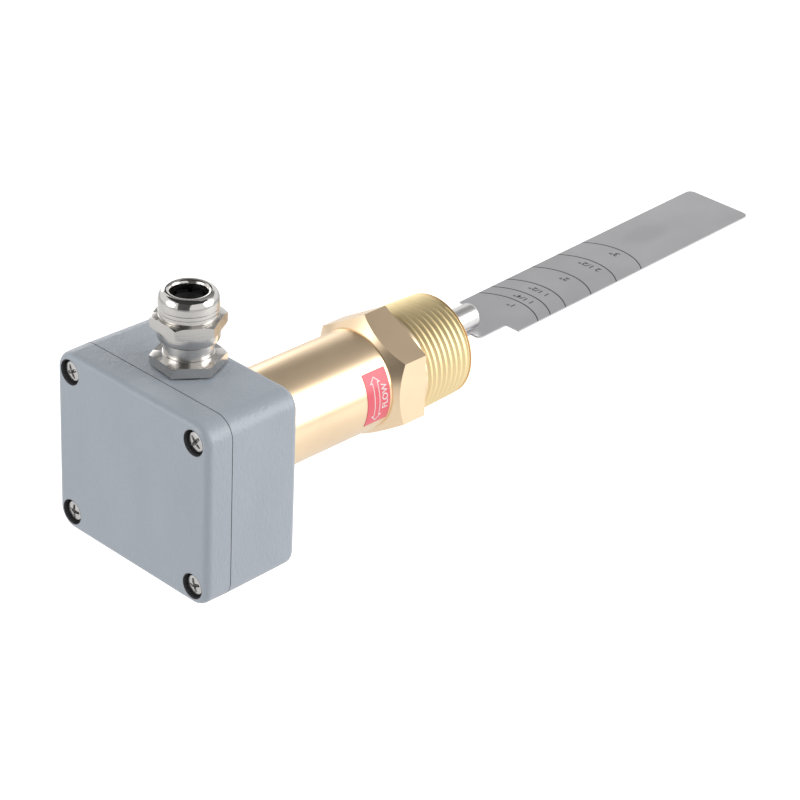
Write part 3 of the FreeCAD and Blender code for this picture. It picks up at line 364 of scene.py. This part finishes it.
def printed(name, colour, roughness=0.4):
    """Ink or vinyl, a little faded in patches."""
    material, tree, shader = new_finish(name, colour, 0.0, roughness)
    faded = tuple(min(1.0, c * 0.92 + 0.01) for c in colour)
    shade_between(tree, shader, stretched_noise(tree, 500, (1, 1, 1)), faded, colour)
    return material


label_low, label_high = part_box("flow_label")
label_from, label_span = -24.5, 63.0
vinyl_face = 15.83
label_start, label_end = label_low.y / MM, label_high.y / MM
sheet_angle = np.linspace(label_from, label_from + label_span, 48)[:, None]
sheet_along = np.linspace(label_start, label_end, 3)[None, :]
red_vinyl = printed("red_vinyl", (0.84, 0.125, 0.165), 0.3)
label_sheet = wrapped_sheet(*np.broadcast_arrays(sheet_angle, sheet_along), barrel_radius, vinyl_face)
make_piece("label_sheet", [label_sheet], red_vinyl, "housing", "flow_label")


def two_headed_arrow(middle, low, high, head, shaft_half, head_half, inner, outer):
    """The arrow's half-width is a function of the angle: a ramp, a shaft, and the ramp again.
    Angles are in degrees round the barrel; head is the length of each arrow head."""
    stations = np.array((low, low + head, low + head, high - head, high - head, high))
    halves = np.array((0.02, head_half, shaft_half, shaft_half, head_half, 0.02))
    pieces = [np.linspace(a, b, 14) for a, b in zip(stations[:-1:2], stations[1::2])]
    widths = [np.linspace(a, b, 14) for a, b in zip(halves[:-1:2], halves[1::2])]
    angle, half = np.concatenate(pieces)[:, None], np.concatenate(widths)[:, None]
    across = np.linspace(-1, 1, 5)[None, :]
    return wrapped_sheet(*np.broadcast_arrays(angle, middle + across * half), inner, outer)


white_ink = printed("white_ink", (0.86, 0.84, 0.83))
arrow_line = label_start + 3.9
arrow_low, arrow_high = label_from + 4, label_from + label_span - 6
arrow_outline = two_headed_arrow(arrow_line, arrow_low, arrow_high, 7.5, 1.1, 2.1,
                                 vinyl_face - 0.03, vinyl_face + 0.012)
arrow_core = two_headed_arrow(arrow_line, arrow_low + 1.5, arrow_high - 1.5, 5.0, 0.84, 1.4,
                              vinyl_face - 0.01, vinyl_face + 0.018)
make_piece("label_arrow", [arrow_outline], white_ink, "housing")
make_piece("label_arrow_core", [arrow_core], red_vinyl, "housing")


def flat_text(name, words, height, weight=0.0):
    """Letters as a flat mesh, centred, with the given capital height in millimetres."""
    curve = bpy.data.curves.new(name, "FONT")
    curve.body = words
    curve.size = 1.0
    curve.offset = weight
    curve.align_x = "CENTER"
    curve.align_y = "CENTER"
    holder = bpy.data.objects.new(name + "_curve", curve)
    bpy.context.scene.collection.objects.link(holder)
    bpy.context.view_layer.update()
    mesh = bpy.data.meshes.new_from_object(holder)
    bpy.data.objects.remove(holder)
    points = np.empty(len(mesh.vertices) * 3, np.float32)
    mesh.vertices.foreach_get("co", points)
    points = points.reshape(-1, 3).astype(float)
    points[:, 1] -= (points[:, 1].max() + points[:, 1].min()) / 2
    points *= height / (points[:, 1].max() - points[:, 1].min())
    return mesh, points


def letter_piece(name, mesh, points, material, body):
    """Set the letters' points, in metres, and give the piece its finish and body."""
    mesh.name = name
    mesh.vertices.foreach_set("co", points.astype(np.float32).reshape(-1))
    mesh.update()
    mesh.materials.clear()
    mesh.materials.append(material)
    piece = bpy.data.objects.new(name, mesh)
    bpy.context.scene.collection.objects.link(piece)
    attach(piece, body)
    return piece


mesh, points = flat_text("label_word", "FLOW", 2.25, 0.012)
letters_narrowed = 0.93
word_angle = label_from + label_span / 2 + np.degrees(points[:, 0] * letters_narrowed / (vinyl_face + 0.02))
word_along = label_start + 7.0 - points[:, 1]
letter_piece("label_word", mesh, on_barrel(word_angle, word_along, vinyl_face + 0.03), white_ink, "housing")


# ---- The lid screws ------------------------------------------------------------------------------
# Four steel pan-head screws with a cross recess, sunk in the lid's counterbores. The recess is
# punched, so its arms narrow and grow shallow towards their ends.
bright_zinc = plated("bright_zinc", (0.62, 0.61, 0.60), 0.2)
head_rise, crown, shank_radius, shank_length, tip_radius = 2.6, 0.36, 2.0, 14.0, 1.5
recess_depth, recess_reach, arm_half_width, arm_taper, arm_wall = 1.6, 2.1, 0.62, 0.13, 0.16
steps_round = 96
head_face = screw_low.y / MM


def pan_head(x, z):
    """Rings of the screw from its head's centre to its tip; the head's face is a height over
    radius and angle: a shallow crown, less the recess where the point is near either arm."""
    angle = np.linspace(0, 2 * np.pi, steps_round, endpoint=False)[None, :]
    radius = np.concatenate((np.linspace(0.0, 2.2, 34), np.linspace(2.3, 2.85, 6)))[:, None]
    near = np.minimum(np.abs(radius * np.sin(angle)), np.abs(radius * np.cos(angle)))
    arm = np.clip((arm_half_width - arm_taper * radius - near) / arm_wall, 0, 1)
    reach = np.clip((recess_reach - radius) / 0.9, 0, 1)
    depth = recess_depth * arm * arm * (3 - 2 * arm) * np.sqrt(reach)
    face = crown * (radius / head_radius) ** 2 + depth
    edge = np.array(((3.05, 0.40), (3.18, 0.60), (head_radius, 0.95), (head_radius, head_rise),
                     (shank_radius, head_rise), (shank_radius, head_rise + shank_length - 0.6),
                     (tip_radius, head_rise + shank_length), (0.0, head_rise + shank_length)))
    edge_shape = (len(edge), steps_round)
    radius = np.concatenate((np.broadcast_to(radius, face.shape), np.broadcast_to(edge[:, :1], edge_shape)))
    along = head_face + np.concatenate((face, np.broadcast_to(edge[:, 1:], edge_shape)))
    turned_by = 0.35 * (x > 0) + 0.5 * (z > 0)
    angle = np.broadcast_to(angle, radius.shape) + turned_by
    place = np.stack((x + radius * np.cos(angle), along, z + radius * np.sin(angle)), axis=-1)
    return surface(place * MM, False, True)


lid_screw_shells = [pan_head(x, z) for x in (-screw_across, screw_across) for z in (-screw_up, screw_up)]
make_piece("lid_screw_set", lid_screw_shells, bright_zinc, "lid", "lid_screws", crease=40)


# ---- The lid joint -------------------------------------------------------------------------------
# The lid and the case meet on the gasket, and the paint stops at the joint, so a fine dark line
# runs all round. It is the gasket's edge, a hair proud of the casting, and it is also painted
# shadow: its black stands for the shade in the joint's narrow gap.
def around_case(half_width, half_height, corner, along, steps=12):
    """A rounded rectangle facing along the stem, as one closed row of points."""
    quarter = np.linspace(0, np.pi / 2, steps)
    turns = np.concatenate([quarter + k * np.pi / 2 for k in range(4)])
    middle_x = np.repeat((1, -1, -1, 1), steps) * (half_width - corner)
    middle_z = np.repeat((1, 1, -1, -1), steps) * (half_height - corner)
    return np.stack((middle_x + corner * np.cos(turns), np.full(turns.shape, along),
                     middle_z + corner * np.sin(turns)), axis=-1)


body_low, body_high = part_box("enclosure_body")
seam, half_width, half_height = body_low.y / MM, body_high.x / MM, body_high.z / MM
case_corner = 6.3
line_half, line_sunk, line_proud = 0.11, -0.4, 0.02
joint_section = ((line_sunk, -line_half - 0.02), (line_proud, -line_half), (line_proud, line_half),
                 (line_sunk, line_half + 0.02))
joint_rows = np.stack([around_case(half_width + out, half_height + out, case_corner + out, seam + along)
                       for out, along in joint_section])
joint_line = surface(joint_rows * MM, True, True)
make_piece("lid_joint_line", [joint_line], black_rubber, "lid")


# ---- The metal bellows ---------------------------------------------------------------------------
# Thin phosphor bronze, rolled into ripples around the lever and soldered to its collar. It keeps
# the fluid in the stem's bore away from the switch.
bronze = lathe_turned("phosphor_bronze", (0.72, 0.46, 0.26), 0.25, across_lathe)
dress("seal_bellows", bronze)
dress("bellows_collar", bronze)


# ---- The lever -----------------------------------------------------------------------------------
# A ground stainless rod that rocks on the pivot pin. Its underside is milled flat at the free end
# for the blade, and a thinner tail works the switch.
swing = next(joint for joint in frame["joints"] if joint["name"] == "paddle_swing")
pivot = np.array(swing["pos_m"])
rest_tilt = math.radians(2.2)


def on_paddle(x, out, up):
    """A place on the paddle: across, out from the pivot along the lever, and up, in metres."""
    x, out, up = np.broadcast_arrays(x, out, up)
    return pivot + np.stack((x, out * math.cos(rest_tilt) - up * math.sin(rest_tilt),
                             out * math.sin(rest_tilt) + up * math.cos(rest_tilt)), axis=-1)


lever_radius, lever_end, tail_radius, tail_end, tail_start = 4.1, 109.5, 2.5, -15, -4.92
seat_start, seat_drop = 83, 3.65
lever_profile = np.array((
    (tail_end, 0), (tail_end, tail_radius - 0.4), (tail_end + 0.4, tail_radius), (tail_start, tail_radius),
    (tail_start, lever_radius), (seat_start - 0.1, lever_radius), (seat_start, lever_radius),
    (lever_end - 1, lever_radius), (lever_end - 0.6, lever_radius - 0.08),
    (lever_end - 0.2, lever_radius - 0.35), (lever_end, lever_radius - 0.8), (lever_end, 0)))
angle = np.linspace(0, 2 * np.pi, 144, endpoint=False)[None, :]
out = np.broadcast_to(lever_profile[:, :1], (len(lever_profile), angle.size))
across = lever_profile[:, 1:] * np.cos(angle)
up = lever_profile[:, 1:] * np.sin(angle)
up = np.where(out >= seat_start, np.maximum(up, -seat_drop), up)
ground_steel = lathe_turned("ground_steel", (0.72, 0.71, 0.70), 0.32, (0.03, 1, 0.03), 0.0004)
make_piece("lever_rod", [surface(on_paddle(across * MM, out * MM, up * MM), False, True)], ground_steel,
           "paddle", "paddle_lever")
dress("blade_rivets", ground_steel)


# ---- The blade -----------------------------------------------------------------------------------
# Half-millimetre stainless strip, cut with a tongue that is riveted under the lever. Scribed arcs
# and numbers show where to trim it for each size of pipe.
def rolled_sheet(name, colour, roughness):
    """Rolled steel, cloudy, with fine lines across the strip and one darker patch near its end."""
    dark_patch_centre, dark_patch_reach = (-0.002, 0.12447), (1 / 170, 1 / 85)
    material, tree, shader = new_finish(name, colour, 1.0, roughness)
    cloudy = stretched_noise(tree, 25, (1.6, 1, 1), 4)
    place = tree.nodes.new("ShaderNodeTexCoord")
    mapping = tree.nodes.new("ShaderNodeMapping")
    mapping.inputs["Scale"].default_value = (1 / dark_patch_reach[0], 1 / dark_patch_reach[1], 0)
    mapping.inputs["Location"].default_value = (-dark_patch_centre[0] / dark_patch_reach[0],
                                                -dark_patch_centre[1] / dark_patch_reach[1], 0)
    dark_patch = tree.nodes.new("ShaderNodeTexGradient")
    dark_patch.gradient_type = "SPHERICAL"
    darker = tree.nodes.new("ShaderNodeMath")
    darker.operation = "MULTIPLY_ADD"
    darker.inputs[1].default_value = -0.45
    tree.links.new(place.outputs["Object"], mapping.inputs["Vector"])
    tree.links.new(mapping.outputs["Vector"], dark_patch.inputs["Vector"])
    tree.links.new(dark_patch.outputs["Fac"], darker.inputs[0])
    tree.links.new(cloudy, darker.inputs[2])
    shade_between(tree, shader, darker.outputs[0], tuple(c * 0.84 for c in colour), colour)
    relief(tree, shader, stretched_noise(tree, 3000, (1, 0.04, 1), 2), 0.000006)
    return material


blade_steel = rolled_sheet("rolled_stainless", (0.64, 0.635, 0.65), 0.36)
dress("paddle_blade", blade_steel)
scribe = printed("scribed_line", (0.05, 0.05, 0.055), 0.5)
blade_top = -seat_drop
arc_radius, arc_half_span, arc_half_width = 19.0, 12.65, 0.24
letters_widened, letters_below_arc = 1.2, 3.3
trim_marks = (('1"', 131.2, 2.1), ('1 1/4"', 137.0, 2.1), ('1 1/2"', 144.2, 2.1), ('2"', 156.3, 2.3),
              ('2 1/2"', 168.6, 2.3), ('3"', 180.9, 2.5))
for number, (size_text, reach, letter) in enumerate(trim_marks, start=1):
    side = np.linspace(-arc_half_span, arc_half_span, 40)[:, None]
    dip = arc_radius - np.sqrt(arc_radius ** 2 - side ** 2)
    line_out = reach - dip + np.array((-arc_half_width, arc_half_width))[None, :]
    top = on_paddle(side * MM, line_out * MM, (blade_top + 0.012) * MM)
    under = on_paddle(side * MM, line_out * MM, (blade_top - 0.03) * MM)
    ring = np.concatenate((top, under[:, ::-1]), axis=1)
    ends = np.broadcast_to(ring.mean(axis=1, keepdims=True), ring.shape)
    ring = np.concatenate((ends[:1], ring, ends[-1:]), axis=0)
    make_piece(f"trim_arc_{number}", [surface(ring, False, True)], scribe, "paddle")
    mesh, points = flat_text(f"trim_size_{number}", size_text, letter, 0.02)
    letters = on_paddle(-points[:, 0] * letters_widened * MM,
                        (reach - letters_below_arc - points[:, 1]) * MM, (blade_top + 0.015) * MM)
    letter_piece(f"trim_size_{number}", mesh, letters, scribe, "paddle")


# ---- The cable gland -----------------------------------------------------------------------------
# Nickel-plated brass: a body screwed through the roof over a black washer, and a domed nut that
# squeezes a nylon cage onto the rubber seal. Both have a hexagon for the spanner.
gland_low, gland_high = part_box("gland_body")
gland_depth = (gland_low.y + gland_high.y) / 2


def about_gland(radius, angle, height):
    """A point at a radius and an angle from +X round the gland's upright axis, at a height."""
    radius, angle, height = np.broadcast_arrays(radius, angle, height)
    return np.stack((radius * np.cos(angle), gland_depth + radius * np.sin(angle), height), axis=-1)


def polished_above(tree, shader, level, turned_roughness, polished_roughness):
    """Turned below a height and buffed above it, with a short change between the two."""
    place = tree.nodes.new("ShaderNodeTexCoord")
    parts = tree.nodes.new("ShaderNodeSeparateXYZ")
    change = tree.nodes.new("ShaderNodeMapRange")
    change.inputs["From Min"].default_value = level - 0.0003
    change.inputs["From Max"].default_value = level + 0.0003
    change.inputs["To Min"].default_value = turned_roughness
    change.inputs["To Max"].default_value = polished_roughness
    tree.links.new(place.outputs["Object"], parts.inputs[0])
    tree.links.new(parts.outputs["Z"], change.inputs["Value"])
    tree.links.new(change.outputs["Result"], shader.inputs["Roughness"])


dome_start = 49.2
nickel = lathe_turned("nickel_plate", (0.63, 0.61, 0.585), 0.2, (0.03, 0.03, 1), 0.0003, 0.00003)
polished_above(nickel.node_tree, nickel.node_tree.nodes["Principled BSDF"], dome_start * MM, 0.22, 0.09)
gland_bore, entry_radius, gland_neck, gland_collar, nut_thread = 5.2, 8.0, 7.2, 8.9, 7.4
gland_foot, washer_top, hex_top, gland_lip, seal_shelf = 22.1, 29.5, 32.5, 45.0, 40.0
seal_pocket = 6.25
gland_flats, body_hex_turn, nut_hex_turn = 19, 52.9, 58
gland_tube = turned((
    (gland_foot, gland_bore), (gland_foot, entry_radius - 0.5), (gland_foot + 0.5, entry_radius),
    (washer_top, entry_radius), (washer_top, 6.9), (hex_top - 0.1, 6.9), (hex_top, 7.4), (33.2, 7.4),
    (33.35, gland_neck - 0.05), (37.1, gland_neck), (37.2, 7.7), (38.0, gland_collar - 0.1),
    (38.2, gland_collar), (41.0, gland_collar), (41.1, gland_collar - 0.1), (41.1, nut_thread),
    (gland_lip - 0.4, nut_thread), (gland_lip, nut_thread - 0.4), (gland_lip, seal_pocket),
    (seal_shelf, seal_pocket), (seal_shelf, gland_bore)), about_gland)
gland_hex = six_sided(gland_flats, body_hex_turn, washer_top, hex_top, 6.8, about_gland, crown_high=10.0,
                      slope=2.2)
make_piece("gland_body_turned", [gland_tube, gland_hex], nickel, "housing", "gland_body")
dress("gland_locknut", nickel)

nut_foot, nut_hex_top, nut_radius, nut_groove, mouth_radius, mouth_lip = 41.3, 44.8, 8.65, 8.5, 5.25, 49.6
dome_across, dome_rise, dome_ring = 2.25, 3.2, 6.4
dome_arc = [(dome_start + dome_rise * math.sin(a), dome_ring + dome_across * math.cos(a))
            for a in np.radians(np.arange(6, 91, 7))]
nut_shell = turned([
    (nut_foot, nut_thread + 0.05), (nut_foot, 8.6), (nut_hex_top, 8.6), (45.0, 8.25), (45.3, 8.25),
    (45.5, nut_radius), (46.5, nut_radius), (46.6, nut_groove), (46.75, nut_groove), (46.85, nut_radius),
    (47.7, nut_radius), (47.8, nut_groove + 0.02), (47.95, nut_groove + 0.02), (48.05, nut_radius),
    (dome_start - 0.2, nut_radius)] + dome_arc + [
    (52.38, 6.1), (52.3, 5.85), (52.1, 5.6), (51.8, 5.4), (51.4, 5.28), (51, mouth_radius),
    (mouth_lip + 0.1, mouth_radius), (mouth_lip, mouth_radius + 0.25), (mouth_lip, nut_thread + 0.05)],
    about_gland)
nut_hex = six_sided(gland_flats, nut_hex_turn, nut_foot, nut_hex_top, 8.0, about_gland, crown_low=10.3,
                    crown_high=10.0, slope=2.0)
make_piece("gland_nut_turned", [nut_shell, nut_hex], nickel, "gland_nut", "gland_dome_nut")


# ---- The gland's seal ----------------------------------------------------------------------------
# A rubber sleeve in the gland's mouth, ribbed inside so that it grips the cable.
rib_crest, rib_root, rib_step = 4.55, 5.0, 0.7
seal_ribs = [(level, rib_crest if number % 2 else rib_root)
             for number, level in enumerate(np.arange(47.9, 40.3, -rib_step))]
seal_sleeve = turned([
    (seal_shelf, 4.9), (seal_shelf, seal_pocket - 0.15), (44.8, seal_pocket - 0.15), (44.9, 5.7),
    (48.4, 5.7), (48.6, 5.5), (48.6, gland_bore)] + seal_ribs, about_gland)
make_piece("gland_seal_ribbed", [seal_sleeve], black_rubber, "housing", "gland_seal")


# ---- Terminals and tags --------------------------------------------------------------------------
# Tinned brass: the switch's three solder tags and the clamp inside each pole of the block.
tinned = plated("tinned_brass", (0.74, 0.64, 0.42), 0.28)
for node in ("microswitch_tags", "terminal_clamps"):
    dress(node, tinned)


# ---- The studio ----------------------------------------------------------------------------------
# A pale floor well below the switch, which is held by its thread, and soft lamps all round. A grey
# card and dark cloths, which only the bright metal sees, give it something dark to show.
def stage_sheet(name, grid, material):
    """A sheet that stands in the studio, from a grid of points."""
    points, faces = surface(np.array(grid, float))
    mesh = bpy.data.meshes.new(name)
    mesh.from_pydata(points.tolist(), [], faces.tolist())
    mesh.materials.append(material)
    sheet = bpy.data.objects.new(name, mesh)
    bpy.context.scene.collection.objects.link(sheet)
    return sheet


def pale_backdrop(tree, surface_shader, output):
    """Add white to what the camera sees, and a little to what the metal sees, so that the
    backdrop reads as white paper."""
    path = tree.nodes.new("ShaderNodeLightPath")
    glow = tree.nodes.new("ShaderNodeEmission")
    mirrored = tree.nodes.new("ShaderNodeMath")
    mirrored.operation = "MAXIMUM"
    faint = tree.nodes.new("ShaderNodeMath")
    faint.operation = "MULTIPLY"
    faint.inputs[1].default_value = 0.12
    share = tree.nodes.new("ShaderNodeMath")
    share.operation = "MULTIPLY_ADD"
    share.inputs[1].default_value = 0.5
    both = tree.nodes.new("ShaderNodeAddShader")
    tree.links.new(path.outputs["Is Glossy Ray"], mirrored.inputs[0])
    tree.links.new(path.outputs["Is Transmission Ray"], mirrored.inputs[1])
    tree.links.new(mirrored.outputs[0], faint.inputs[0])
    tree.links.new(path.outputs["Is Camera Ray"], share.inputs[0])
    tree.links.new(faint.outputs[0], share.inputs[2])
    tree.links.new(share.outputs[0], glow.inputs["Strength"])
    tree.links.new(surface_shader, both.inputs[0])
    tree.links.new(glow.outputs[0], both.inputs[1])
    tree.links.new(both.outputs[0], output)


paper, tree, shader = new_finish("white_paper", (0.82, 0.82, 0.82), 0.0, 0.9)
pale_backdrop(tree, shader.outputs[0], tree.nodes["Material Output"].inputs["Surface"])
floor_level, floor_half = -0.25, 6
floor_grid = [[(x, y, floor_level) for x in (-floor_half, floor_half)] for y in (-floor_half, floor_half)]
stage_sheet("floor", floor_grid, paper)


def mirrored_only(card):
    """The bright metal sees this card; the lens and the soft light don't."""
    card.visible_camera = False
    card.visible_diffuse = False
    card.visible_shadow = False


def flat_overhead(name, left, right, near, far, material):
    """A level sheet above the switch."""
    height = 0.85
    mirrored_only(stage_sheet(name, [[(left, near, height), (right, near, height)],
                                     [(left, far, height), (right, far, height)]], material))


card_grey, tree, shader = new_finish("grey_card", (0.42, 0.42, 0.42), 0.0, 0.9)
flat_overhead("overhead_card", -0.85, 0.28, 0.2, 1.5, card_grey)

# A dark cloth hangs behind the lens, and runs on as a wider black one over the switch. A third
# lies level to the left.
bearing, cloth_distance = math.radians(-62), 1.3
outward = np.array((math.cos(bearing), math.sin(bearing), 0.0))
sideways = np.array((-math.sin(bearing), math.cos(bearing), 0.0))
upward = np.array((0.0, 0.0, 1.0))
side = np.array((-1, 1))[None, :, None]
for name, shade, rises, half_low, half_high in (("hanging_cloth", 0.11, (-8, 46), 0.48, 0.48),
                                                ("ceiling_cloth", 0.05, (46, 114), 0.48, 1.4)):
    cloth, tree, shader = new_finish(name, (shade, shade, shade), 0.0, 0.9)
    rows = np.linspace(0, 1, 9)
    rise = np.radians(np.interp(rows, (0, 1), rises))[:, None, None]
    half = np.interp(rows, (0, 0.5, 1), (half_low, half_high, half_high))[:, None, None]
    arch = cloth_distance * (np.cos(rise) * outward + np.sin(rise) * upward) + half * side * sideways
    mirrored_only(stage_sheet(name, arch, cloth))
flat_overhead("side_cloth", -1.9, -0.85, 0.35, 1.02, cloth)

# The sky is white, and full strength only for the lens and for what bright metal mirrors.
world = bpy.data.worlds.new("studio")
bpy.context.scene.world = world
world.use_nodes = True
tree = world.node_tree
tree.nodes.clear()
path = tree.nodes.new("ShaderNodeLightPath")
seen = tree.nodes.new("ShaderNodeMath")
seen.operation = "MAXIMUM"
seen_too = tree.nodes.new("ShaderNodeMath")
seen_too.operation = "MAXIMUM"
soft_strength = 0.55
level = tree.nodes.new("ShaderNodeMath")
level.operation = "MULTIPLY_ADD"
level.inputs[1].default_value = 1 - soft_strength
level.inputs[2].default_value = soft_strength
sky = tree.nodes.new("ShaderNodeBackground")
output = tree.nodes.new("ShaderNodeOutputWorld")
tree.links.new(path.outputs["Is Camera Ray"], seen.inputs[0])
tree.links.new(path.outputs["Is Glossy Ray"], seen.inputs[1])
tree.links.new(seen.outputs[0], seen_too.inputs[0])
tree.links.new(path.outputs["Is Transmission Ray"], seen_too.inputs[1])
tree.links.new(seen_too.outputs[0], level.inputs[0])
tree.links.new(level.outputs[0], sky.inputs["Strength"])
tree.links.new(sky.outputs[0], output.inputs["Surface"])
sky.inputs["Color"].default_value = (1, 1, 1, 1)


def soft_lamp(name, place, size, watts, aim=(0, -0.03, 0)):
    """A round soft lamp that faces the switch's middle."""
    lamp = bpy.data.lights.new(name, "AREA")
    lamp.shape = "DISK"
    lamp.size = size
    lamp.energy = watts
    holder = bpy.data.objects.new(name, lamp)
    bpy.context.scene.collection.objects.link(holder)
    facing = (Vector(aim) - Vector(place)).to_track_quat("-Z", "Y")
    holder.matrix_world = Matrix.Translation(place) @ facing.to_matrix().to_4x4()


soft_lamp("key_right", (0.78, 0.62, 0.42), 0.95, 8)
soft_lamp("fill_front", (-0.5, -1.2, 0.4), 0.9, 5.5)
soft_lamp("rim_left", (-1.1, 0.4, 0.3), 0.7, 2)
